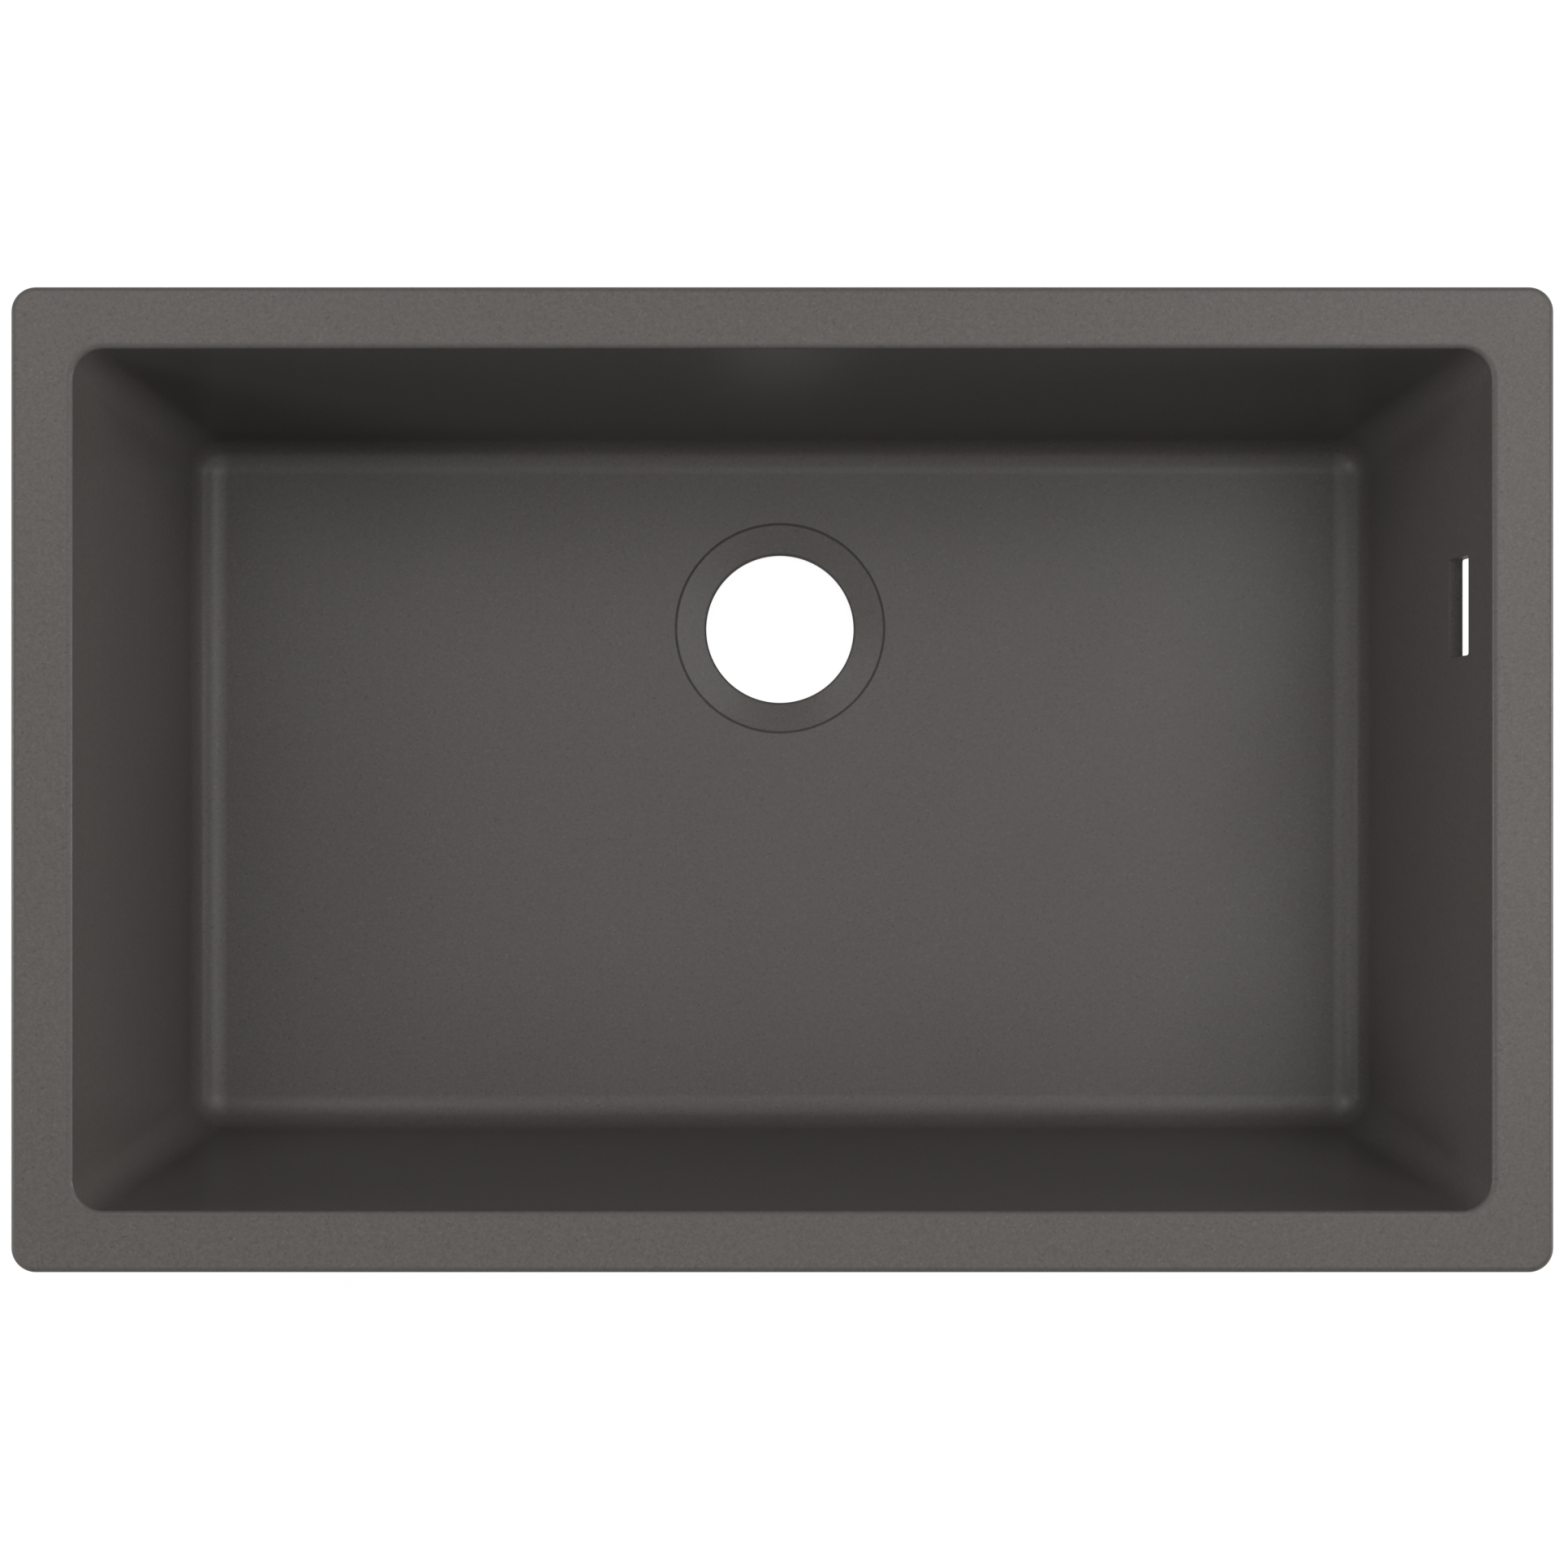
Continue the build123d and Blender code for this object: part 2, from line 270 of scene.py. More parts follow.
def turned_rows(profile, bearing):
    """A profile of radius and height turned about the waste's axis, with a point at every bearing."""
    direction = np.stack([np.cos(bearing), np.sin(bearing)], -1)
    return at_height(WASTE_CENTRE + profile[:, :1, None] * direction, profile[:, 1:])


inner_wall = drafted_wall(0.0, MOUTH_CORNER, FLOOR_CORNER, BOWL_DEPTH)
skin_wall = drafted_wall(
    WALL_THICKNESS,
    MOUTH_CORNER + WALL_THICKNESS,
    FLOOR_CORNER + WALL_THICKNESS,
    base_depth,
)
floor_round, floor_contact = foot_round(inner_wall, BOWL_DEPTH, FLOOR_ROUND, FLOOR_ROUND_STEPS)
mouth_round, mouth_contact = head_round(inner_wall, 0.0, MOUTH_ROUND, MOUTH_STEPS)
under_rim_round, skin_contact = head_round(skin_wall, RIM_THICKNESS, UNDER_RIM_FILLET, UNDER_RIM_STEPS)
base_round, base_contact = foot_round(skin_wall, base_depth, FLOOR_ROUND + WALL_THICKNESS, BASE_ROUND_STEPS)

# The waste: hole, lip, cone and leaning step, turned about the hole's axis at the bearings of the floor's
# outline, so that the floor joins the two point to point.
bearing = np.arctan2(floor_round[-1, :, 1] - WASTE_CENTRE[1], floor_round[-1, :, 0])
cone_radius = WASTE_SEAT_RADIUS - WASTE_STEP_LEAN
seat_height = -BOWL_DEPTH - WASTE_STEP
lip_height = seat_height - WASTE_CONE_DROP
waste_profile = rounded_profile(
    [
        (WASTE_HOLE_RADIUS + WASTE_BASE_REACH, -base_depth),
        (WASTE_HOLE_RADIUS, -base_depth),
        (WASTE_HOLE_RADIUS, lip_height),
        (cone_radius, seat_height),
        (WASTE_SEAT_RADIUS, -BOWL_DEPTH),
        (WASTE_SEAT_RADIUS + WASTE_FLOOR_REACH, -BOWL_DEPTH),
    ],
    [WASTE_BACK_EDGE_ROUND, WASTE_LIP_ROUND, WASTE_EDGE_ROUND, WASTE_EDGE_ROUND],
    WASTE_EDGE_STEPS,
)
waste = turned_rows(waste_profile, bearing)

quarter_turn = np.linspace(0, math.pi / 2, RIM_EDGE_STEPS + 1)
rim_top_edge = rim_rows(
    RIM_TOP_ROUND * (1 - np.sin(quarter_turn)),
    RIM_TOP_ROUND * (np.cos(quarter_turn) - 1),
)
rim_low_edge = rim_rows(
    RIM_UNDER_ROUND * (1 - np.cos(quarter_turn)),
    RIM_UNDER_ROUND * (1 - np.sin(quarter_turn)) - RIM_THICKNESS,
)
overflow_depths = OVERFLOW_DEPTH - tall_lines * OVERFLOW_WINDOW[1]
seat_depths = SEAT_DEPTH + tall_lines * SEAT_WINDOW_HEIGHT
underside_width = rim_half_length - RIM_UNDER_ROUND - under_rim_round[-1, side_starts[0], 0]
pocket_shares = (PIVOT_INSET - RIM_UNDER_ROUND + pocket_lines * POCKET_WINDOW[1]) / underside_width
underside_shares = [UNDERSIDE_END_SHARES[0], *pocket_shares, UNDERSIDE_END_SHARES[1]]
close_outward = CLOSE * np.pad(outward, ((0, 0), (0, 1)))

# Rows of the whole casting, from the hole up the bowl, over the rim, down the back and in under the floor.
parts = {
    "waste": waste,
    "floor": between(waste[-1], floor_round[-1], FLAT_SHARES),
    "floor_edge": floor_round[-1:] - close_outward,
    "floor_round": floor_round[::-1],
    "wall": wall_rows(
        inner_wall,
        [floor_contact - CLOSE, *WALL_DEPTHS, *overflow_depths, WALL_HEAD_DEPTH, mouth_contact + CLOSE],
    ),
    "mouth_round": mouth_round,
    "rim_top": between(mouth_round[-1], rim_top_edge[0], RIM_TOP_SHARES),
    "rim_top_edge": rim_top_edge,
    "rim_side": rim_rows([0, 0], [-RIM_TOP_ROUND - CLOSE, CLOSE + RIM_UNDER_ROUND - RIM_THICKNESS]),
    "rim_low_edge": rim_low_edge,
    "underside": between(rim_low_edge[-1], under_rim_round[-1], underside_shares),
    "under_rim_round": under_rim_round[::-1],
    "skin": wall_rows(skin_wall, [skin_contact + CLOSE, *seat_depths, *SKIN_DEPTHS, base_contact - CLOSE]),
    "base_round": base_round,
    "base_edge": base_round[-1:] - close_outward,
    "base": between(base_round[-1], waste[0], FLAT_SHARES),
}
row_of = dict(zip(parts, np.cumsum([0, *[len(rows) for rows in parts.values()]])))
grid = np.concatenate(list(parts.values()))
row_count = len(grid)
vertex_number = np.arange(row_count * POINTS_ROUND).reshape(row_count, POINTS_ROUND)
kept_cells = np.ones((row_count, POINTS_ROUND), bool)


def window(first_row, rows, first_column, columns, downwards=False):
    """Leaves a block of cells out of the grid and returns the vertices round its edge, with their places from
    -1 to 1 across and up. They start in the middle of the side where the columns end and run up first; where
    the rows run down the object, downwards turns the order over, so that it is the same in space."""
    kept_cells[first_row : first_row + rows, first_column : first_column + columns] = False
    across = np.concatenate(
        [
            np.full(rows // 2, columns),
            np.arange(columns, 0, -1),
            np.zeros(rows, int),
            np.arange(columns),
            np.full(rows // 2, columns),
        ]
    )
    up = np.concatenate(
        [
            np.arange(rows // 2, rows),
            np.full(columns, rows),
            np.arange(rows, 0, -1),
            np.zeros(columns, int),
            np.arange(rows // 2),
        ]
    )
    edge = vertex_number[first_row + (rows - up if downwards else up), first_column + across]
    return edge, across, up


def strip(first, last):
    """Quads between two closed rings of vertices with the same number of points."""
    return np.stack([first, last, np.roll(last, -1), np.roll(first, -1)], -1)


def slot_ring(half_size, corner, grow, places):
    """A rounded rectangle, grown by a distance, with its points matched to a window's edge: places before the
    corner share run along its straights, and the rest of each quarter turns through the corner's arc."""
    inner = 1 - WINDOW_CORNER_SHARE
    radius = corner + grow
    reach = np.abs(places)
    bend = np.clip((reach - inner) / WINDOW_CORNER_SHARE, 0, 1)
    turn = math.pi / 4 * (1 + bend[:, 1] - bend[:, 0])
    arc = radius * np.stack([np.cos(turn), np.sin(turn)], -1)
    return np.sign(places) * ((half_size - corner) * np.minimum(reach / inner, 1) + arc)


# The overflow: a window in the bowl's wall and one in the skin behind it, joined by rings that go in over the
# slot's edge, through the wall, out across the flat seat of the overflow pipe and up to the skin.
wall_window_row = row_of["wall"] + 1 + len(WALL_DEPTHS)
seat_window_row = row_of["skin"] + 1
overflow_column = int(np.argmin(np.abs(along_side[: side_ends[0], 1] - overflow_cluster[0])))
window_rows, window_columns = len(tall_lines) - 1, len(wide_lines) - 1
bowl_edge, across, up = window(wall_window_row, window_rows, overflow_column, window_columns)
skin_edge, _, _ = window(seat_window_row, window_rows, overflow_column, window_columns, downwards=True)
window_places = np.stack([wide_lines[across], tall_lines[up]], -1)

edge_turn = np.linspace(0, math.pi / 2, OVERFLOW_EDGE_STEPS + 1)


def overflow_rings(half_size, corner, middle_depth, grow, behind):
    """Rings round the overflow: an outline grown by each of several distances, at as many places behind the
    bowl's inner wall, measured level. They lean with it: X falls by the draft's tangent times the depth."""
    rings = []
    for one_grow, one_behind in zip(grow, behind):
        flat = slot_ring(half_size, corner, one_grow, window_places)
        depth = middle_depth - flat[:, 1]
        x = MOUTH_HALF_LENGTH + one_behind - math.tan(WALL_DRAFT) * depth
        rings.append(np.stack([x, OVERFLOW_Y + flat[:, 0], -depth], -1))
    return rings


def seat_rings(grow, behind):
    """Rings of the overflow's seat, which is sunk at right angles to its leaning face: its outline lies in
    that face, and every millimetre behind the face lowers it by the draft's sine times its cosine."""
    rings = []
    for one_grow, one_behind in zip(grow, behind):
        flat = slot_ring(SEAT_HALF_SIZE, SEAT_CORNER, one_grow, window_places)
        sunk = (one_behind - OVERFLOW_WALL) * math.sin(WALL_DRAFT) * math.cos(WALL_DRAFT)
        depth = SEAT_DEPTH + sunk - flat[:, 1] * math.cos(WALL_DRAFT)
        x = MOUTH_HALF_LENGTH + one_behind - math.tan(WALL_DRAFT) * depth
        rings.append(np.stack([x, OVERFLOW_Y + flat[:, 0], -depth], -1))
    return rings


slot_edge = OVERFLOW_EDGE_ROUND * (1 - np.sin(edge_turn))
slot_sink = OVERFLOW_EDGE_ROUND * (1 - np.cos(edge_turn))
seat_edge = SEAT_EDGE_ROUND * (1 - np.sin(edge_turn))
seat_sink = SEAT_EDGE_ROUND * (1 - np.cos(edge_turn))
slot = (OVERFLOW_HALF_SIZE, OVERFLOW_CORNER, OVERFLOW_DEPTH)
slot_straight = [OVERFLOW_EDGE_ROUND + SLOT_CLOSE, OVERFLOW_WALL - SEAT_EDGE_ROUND - CLOSE]
slot_rings = [
    *overflow_rings(*slot, [OVERFLOW_EDGE_ROUND + SLOT_CLOSE], [0.0]),
    *overflow_rings(*slot, slot_edge, slot_sink),
    *overflow_rings(*slot, [0, 0], slot_straight),
]
overflow = [
    *slot_rings,
    *overflow_rings(*slot, seat_edge[::-1], OVERFLOW_WALL - seat_sink[::-1]),
    *overflow_rings(*slot, [SEAT_EDGE_ROUND + CLOSE], [OVERFLOW_WALL]),
    *seat_rings([-SEAT_EDGE_ROUND - CLOSE], [OVERFLOW_WALL]),
    *seat_rings(-seat_edge, OVERFLOW_WALL + seat_sink),
    *seat_rings([0.0], [WALL_THICKNESS - SEAT_EDGE_ROUND - CLOSE]),
    *seat_rings(seat_edge[::-1], WALL_THICKNESS - seat_sink[::-1]),
    *seat_rings([SEAT_EDGE_ROUND + CLOSE / 2], [WALL_THICKNESS]),
]
overflow_number = vertex_number.size + np.arange(len(overflow) * len(bowl_edge)).reshape(len(overflow), -1)
overflow_faces = [strip(a, b) for a, b in zip([bowl_edge, *overflow_number], [*overflow_number, skin_edge])]

# The pockets that the threaded inserts are moulded into: a hexagon as deep as the insert, closed at its end.
around = np.arange(4 * POCKET_CELLS) * math.pi / (2 * POCKET_CELLS)
hexagon_radius = INSERT_APOTHEM / np.cos(around % (math.pi / 3) - math.pi / 6)
hexagon = hexagon_radius[:, None] * np.stack([np.cos(around), np.sin(around)], -1)
pocket_window_row = row_of["underside"] + 1
pocket_end_height = INSERT_DEPTH - RIM_THICKNESS
pocket_points, pocket_faces, pocket_ends = [], [], []
next_number = overflow_number.max() + 1
for quarter, places in enumerate([[0.0], [-LUG_SPACING, 0.0, LUG_SPACING]] * 2):
    facing = outward[side_starts[quarter]]
    ahead = np.array([-facing[1], facing[0]])
    side_places = along_side[side_starts[quarter] : side_ends[quarter]] @ ahead
    half = (rim_half_length, rim_half_width)[quarter % 2]
    for place in places:
        column = side_starts[quarter] + int(np.argmin(np.abs(side_places - (place - POCKET_WINDOW[0]))))
        edge, _, _ = window(pocket_window_row, POCKET_CELLS, column, POCKET_CELLS)
        pivot = facing * (half - PIVOT_INSET) + ahead * place
        ring = pivot + hexagon[:, :1] * ahead - hexagon[:, 1:] * facing
        pocket_points += [at_height(ring, -RIM_THICKNESS), at_height(ring, pocket_end_height)]
        pocket_points.append(at_height(pivot[None], pocket_end_height))
        mouth_number = next_number + np.arange(len(ring))
        end_number = mouth_number + len(ring)
        middle_number = np.full(len(ring), end_number[-1] + 1)
        next_number = end_number[-1] + 2
        pocket_faces += [strip(edge, mouth_number), strip(mouth_number, end_number)]
        pocket_ends.append(np.stack([end_number, middle_number, np.roll(end_number, -1)], -1))

points = np.concatenate([grid.reshape(-1, 3), *overflow, *pocket_points])
next_row = np.roll(vertex_number, -1, 0)
cells = np.stack([vertex_number, next_row, np.roll(next_row, -1, 1), np.roll(vertex_number, -1, 1)], -1)
quads = np.concatenate([cells[kept_cells], *overflow_faces, *pocket_faces])
triangles = np.concatenate(pocket_ends)

# How much of the mould's unpolished back each point has: none in the bowl and on the rim, all of it behind.
back_rows = ("rim_low_edge", "underside", "under_rim_round", "skin", "base_round", "base_edge", "base")
mould_back = np.ones(len(points))
for part, rows in parts.items():
    mould_back[vertex_number[row_of[part] : row_of[part] + len(rows)]] = part in back_rows
slot_number = overflow_number[: len(slot_rings)]
mould_back[slot_number] = 0

# How far out through the wall each point of the slot lies, from 0 at the bowl towards 1 at the seat. The
# slot's faces get painted shade, darker the further out they are, for the shade deep inside the slot.
slot_painted_shade = np.zeros(len(points))
slot_behind = np.array([0, *slot_sink, *slot_straight])
slot_painted_shade[slot_number] = slot_behind[:, None] / OVERFLOW_WALL

# The rim's top face is flattened by grinding to seal against the worktop, and its grain shows more strongly.
# Its paler colour is painted light, for the extra light that the top catches.
rim_grain_and_painted_light = np.zeros(len(points))
rim_grain_and_painted_light[vertex_number[row_of["rim_top"] : row_of["rim_top_edge"]]] = 1

# The points inside the windows belong to no face, so they are dropped and the rest numbered again.
in_use = np.zeros(len(points), bool)
in_use[quads] = in_use[triangles] = True
renumbered = np.cumsum(in_use) - 1
bowl_mesh = bpy.data.meshes.new("cast_bowl")
bowl_faces = [*renumbered[quads].tolist(), *renumbered[triangles].tolist()]
bowl_mesh.from_pydata(points[in_use].tolist(), [], bowl_faces)
for name, values in (("mould_back", mould_back), ("rim_grain_and_painted_light", rim_grain_and_painted_light), ("slot_painted_shade", slot_painted_shade)):
    bowl_mesh.attributes.new(name, "FLOAT", "POINT").data.foreach_set("value", values[in_use])
bowl_mesh.shade_smooth()
bowl_mesh.set_sharp_from_angle(angle=SHARP_ANGLE)


def maths(tree, operation, *values):
    """The result of a Math node in a node tree. Each value is a number or another node's output."""
    step = tree.nodes.new("ShaderNodeMath")
    step.operation = operation
    for socket, value in zip(step.inputs, values):
        if isinstance(value, float):
            socket.default_value = value
        else:
            tree.links.new(value, socket)
    return step.outputs[0]


def stretched(tree, value, wanted, given=(0.0, 1.0)):
    """The result of a Map Range node, which carries a value from the given range to the wanted one."""
    step = tree.nodes.new("ShaderNodeMapRange")
    tree.links.new(value, step.inputs["Value"])
    step.inputs["From Min"].default_value, step.inputs["From Max"].default_value = given
    step.inputs["To Min"].default_value, step.inputs["To Max"].default_value = wanted
    return step.outputs["Result"]


def noise(tree, place, scale, detail, roughness=0.5, distortion=0.0):
    """The value of a Noise Texture node at a place. Its scale is a number or another node's output."""
    step = tree.nodes.new("ShaderNodeTexNoise")
    tree.links.new(place, step.inputs["Vector"])
    if isinstance(scale, float):
        step.inputs["Scale"].default_value = scale
    else:
        tree.links.new(scale, step.inputs["Scale"])
    step.inputs["Detail"].default_value = detail
    step.inputs["Roughness"].default_value = roughness
    step.inputs["Distortion"].default_value = distortion
    return step.outputs["Fac"]


def attribute(tree, name):
    """The value that the mesh keeps at each of its points under a name."""
    step = tree.nodes.new("ShaderNodeAttribute")
    step.attribute_name = name
    return step.outputs["Fac"]


def bump(tree, height, depth, strength, under=None):
    """The normal of a Bump node with a height and a depth in metres, on top of another bump's if given."""
    step = tree.nodes.new("ShaderNodeBump")
    step.inputs["Strength"].default_value = strength
    step.inputs["Distance"].default_value = depth
    tree.links.new(height, step.inputs["Height"])
    if under is not None:
        tree.links.new(under, step.inputs["Normal"])
    return step.outputs["Normal"]


def effect_group(name, numbers_in, numbers_out):
    """An empty node group that takes a vector and named numbers and gives named numbers. Returned with the
    sockets that its nodes read from and write to."""
    group = bpy.data.node_groups.new(name, "ShaderNodeTree")
    group.interface.new_socket("Vector", in_out="INPUT", socket_type="NodeSocketVector")
    for number in numbers_in:
        group.interface.new_socket(number, in_out="INPUT", socket_type="NodeSocketFloat")
    for number in numbers_out:
        group.interface.new_socket(number, in_out="OUTPUT", socket_type="NodeSocketFloat")
    return group, group.nodes.new("NodeGroupInput").outputs, group.nodes.new("NodeGroupOutput").inputs


PALE_FLECK_ABOVE = 0.97
DARK_FLECK_BELOW = 0.035
GRAIN_DISH = -0.5
DUST_PER_GRAIN = 0.42
DUST_SHARE = 2.0
DUST_DETAIL = 3.0
DUST_ROUGHNESS = 0.7
CLOUDS_PER_METRE = 14.0
CLOUD_DETAIL = 4.0
NOISE_MIDDLE = 0.5
NOISE_SPREAD = (0.3, 0.7)


def mineral_grain_group():
    """A node group for sand cast in resin. Cells of one grain each take a random tone, a few are pale or dark
    flecks, dust fills between them, and slow clouds vary the mix. It gives a tone to multiply the colour by,
    a height and the clouds."""
    group, given, result = effect_group(
        "mineral_grain",
        ("Grains per Metre", "Grain Contrast", "Fleck Contrast", "Cloud Contrast"),
        ("Tone", "Height", "Clouds"),
    )
    grains = group.nodes.new("ShaderNodeTexVoronoi")
    group.links.new(given["Vector"], grains.inputs["Vector"])
    group.links.new(given["Grains per Metre"], grains.inputs["Scale"])
    chance = group.nodes.new("ShaderNodeSeparateColor")
    group.links.new(grains.outputs["Color"], chance.inputs["Color"])
    grain_tone = maths(group, "SUBTRACT", chance.outputs["Red"], NOISE_MIDDLE)
    pale = maths(group, "GREATER_THAN", chance.outputs["Green"], PALE_FLECK_ABOVE)
    dark = maths(group, "LESS_THAN", chance.outputs["Green"], DARK_FLECK_BELOW)
    fleck = maths(group, "SUBTRACT", pale, dark)
    dust_per_metre = maths(group, "MULTIPLY", given["Grains per Metre"], DUST_PER_GRAIN)
    dust = noise(group, given["Vector"], dust_per_metre, DUST_DETAIL, roughness=DUST_ROUGHNESS)
    dust_tone = maths(group, "SUBTRACT", dust, NOISE_MIDDLE)
    dust_contrast = maths(group, "MULTIPLY", given["Grain Contrast"], DUST_SHARE)
    clouds = noise(group, given["Vector"], CLOUDS_PER_METRE, CLOUD_DETAIL)
    cloud_tone = maths(group, "SUBTRACT", clouds, NOISE_MIDDLE)

    tone = maths(group, "MULTIPLY_ADD", grain_tone, given["Grain Contrast"], 1.0)
    tone = maths(group, "MULTIPLY_ADD", dust_tone, dust_contrast, tone)
    tone = maths(group, "MULTIPLY_ADD", fleck, given["Fleck Contrast"], tone)
    tone = maths(group, "MULTIPLY_ADD", cloud_tone, given["Cloud Contrast"], tone)
    height = maths(group, "MULTIPLY_ADD", grains.outputs["Distance"], GRAIN_DISH, dust)
    group.links.new(tone, result["Tone"])
    group.links.new(height, result["Height"])
    group.links.new(clouds, result["Clouds"])
    return group


COMPOSITE_COLOUR = (0.1263, 0.117, 0.1092, 1.0)
# The rim top's paler colour is painted light, for the extra light that the top catches.
RIM_PAINTED_LIGHT_COLOUR = (0.1497, 0.1357, 0.1245, 1.0)
COMPOSITE_ROUGHNESS = (0.32, 0.38)
BACK_ADDED_ROUGHNESS = 0.35
COMPOSITE_SPECULAR_LEVEL = 0.3
BACK_TONE = (0.78, 0.96)
# The darkest painted shade deep in the overflow slot, as a share of the casting's colour.
SLOT_PAINTED_SHADE_DARKEST = 0.62
GRAINS_PER_METRE = 1000.0
GRAIN_CONTRAST = (0.14, 0.23)
FLECK_CONTRAST = 0.16
CLOUD_CONTRAST = 0.012
GRAIN_DEPTH = 0.05 * MM
GRAIN_STRENGTH = 0.25
FLOW_LINES_PER_METRE = (22.0, 22.0, 5.0)
FLOW_DETAIL = 5.0
PEEL_PER_METRE = 210.0
PEEL_DETAIL = 2.0
PEEL_DEPTH = 0.25 * MM
PEEL_STRENGTH = 0.35

# A Mix node for colours keeps its two colours and its result in these sockets.
MIX_FIRST_COLOUR, MIX_SECOND_COLOUR, MIX_COLOUR_RESULT = 6, 7, 2

composite = bpy.data.materials.new("stone_grey_composite")
composite.use_nodes = True
tree = composite.node_tree
shader = tree.nodes["Principled BSDF"]
shader.inputs["Specular IOR Level"].default_value = COMPOSITE_SPECULAR_LEVEL
place = tree.nodes.new("ShaderNodeTexCoord").outputs["Object"]
back = attribute(tree, "mould_back")
# A mask of the rim's top face: stronger grain, and painted light in its colour.
rim_top_grain_and_painted_light = attribute(tree, "rim_grain_and_painted_light")
grain = tree.nodes.new("ShaderNodeGroup")
grain.node_tree = mineral_grain_group()
tree.links.new(place, grain.inputs["Vector"])
tree.links.new(stretched(tree, rim_top_grain_and_painted_light, GRAIN_CONTRAST), grain.inputs["Grain Contrast"])
grain.inputs["Grains per Metre"].default_value = GRAINS_PER_METRE
grain.inputs["Fleck Contrast"].default_value = FLECK_CONTRAST
grain.inputs["Cloud Contrast"].default_value = CLOUD_CONTRAST

# The moulded back is streaked from top to bottom, the way the mix ran down the mould.
flow_lines = tree.nodes.new("ShaderNodeMapping")
tree.links.new(place, flow_lines.inputs["Vector"])
flow_lines.inputs["Scale"].default_value = FLOW_LINES_PER_METRE
flow = noise(tree, flow_lines.outputs["Vector"], 1.0, FLOW_DETAIL)
back_tone = tree.nodes.new("ShaderNodeMix")
tree.links.new(back, back_tone.inputs["Factor"])
back_tone.inputs["A"].default_value = 1.0
tree.links.new(stretched(tree, flow, BACK_TONE, NOISE_SPREAD), back_tone.inputs["B"])
# Painted shade in the overflow slot, darker towards its seat, multiplied with the back's streaks.
slot_painted_shade_tone = stretched(tree, attribute(tree, "slot_painted_shade"), (1.0, SLOT_PAINTED_SHADE_DARKEST))
streaks_and_painted_slot_shade = maths(tree, "MULTIPLY", back_tone.outputs["Result"], slot_painted_shade_tone)
tone = maths(tree, "MULTIPLY", grain.outputs["Tone"], streaks_and_painted_slot_shade)

# The rim's top face takes the paler colour, which is painted light.
colour_with_painted_rim_light = tree.nodes.new("ShaderNodeMix")
colour_with_painted_rim_light.data_type = "RGBA"
tree.links.new(rim_top_grain_and_painted_light, colour_with_painted_rim_light.inputs["Factor"])
colour_with_painted_rim_light.inputs[MIX_FIRST_COLOUR].default_value = COMPOSITE_COLOUR
colour_with_painted_rim_light.inputs[MIX_SECOND_COLOUR].default_value = RIM_PAINTED_LIGHT_COLOUR
colour = tree.nodes.new("ShaderNodeVectorMath")
colour.operation = "SCALE"
tree.links.new(colour_with_painted_rim_light.outputs[MIX_COLOUR_RESULT], colour.inputs[0])
tree.links.new(tone, colour.inputs["Scale"])
tree.links.new(colour.outputs["Vector"], shader.inputs["Base Color"])

matt = stretched(tree, grain.outputs["Clouds"], COMPOSITE_ROUGHNESS, NOISE_SPREAD)
tree.links.new(maths(tree, "MULTIPLY_ADD", back, BACK_ADDED_ROUGHNESS, matt), shader.inputs["Roughness"])

# The moulded face is nearly smooth, and the back has the mould's shallow orange peel.
peel = maths(tree, "MULTIPLY", noise(tree, place, PEEL_PER_METRE, PEEL_DETAIL), back)
peeled = bump(tree, peel, PEEL_DEPTH, PEEL_STRENGTH)
grained = bump(tree, grain.outputs["Height"], GRAIN_DEPTH, GRAIN_STRENGTH, under=peeled)
tree.links.new(grained, shader.inputs["Normal"])

bowl_mesh.materials.append(composite)
bowl = bpy.data.objects.new("cast_bowl", bowl_mesh)
bpy.context.scene.collection.objects.link(bowl)
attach(bowl, "bowl")
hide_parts("sink_bowl")


# ---- Threaded inserts ----
# Eight blind hexagonal brass nuts, turned from bar and moulded into the rim's underside, so that only a low
# ring of each shows round its screw. The metal is dull where the casting resin has wetted it.

FINE_DETAIL = 2.0
SCUFF_DETAIL = 5.0
SCUFF_DISTORTION = 2.0
SCUFF_SPREAD = (0.45, 0.62)
FINE_SHINE = 0.5
SCUFF_HEIGHT = 0.4
TARNISH_PER_METRE = 120.0
TARNISH_DETAIL = 3.0
TARNISH_SPREAD = (0.35, 0.7)
METAL_DEPTH = 0.03 * MM
METAL_STRENGTH = 0.3


def handled_metal_group():
    """A node group for small metal parts that were tumbled once they were made: a fine even grain, scuffs
    where parts knocked together, and slow tarnish. It gives a shine, a height and the tarnish."""
    group, given, result = effect_group(
        "handled_metal",
        ("Grain per Metre", "Scuffs per Metre", "Scuff Share"),
        ("Shine", "Height", "Tarnish"),
    )
    fine = noise(group, given["Vector"], given["Grain per Metre"], FINE_DETAIL)
    scuffs_per_metre = given["Scuffs per Metre"]
    scuffs = noise(group, given["Vector"], scuffs_per_metre, SCUFF_DETAIL, distortion=SCUFF_DISTORTION)
    scuffed = stretched(group, scuffs, (0.0, 1.0), SCUFF_SPREAD)
    share = maths(group, "MULTIPLY", scuffed, given["Scuff Share"])
    group.links.new(maths(group, "MULTIPLY_ADD", fine, FINE_SHINE, share), result["Shine"])
    group.links.new(maths(group, "MULTIPLY_ADD", scuffed, SCUFF_HEIGHT, fine), result["Height"])
    group.links.new(noise(group, given["Vector"], TARNISH_PER_METRE, TARNISH_DETAIL), result["Tarnish"])
    return group


handled_metal = handled_metal_group()


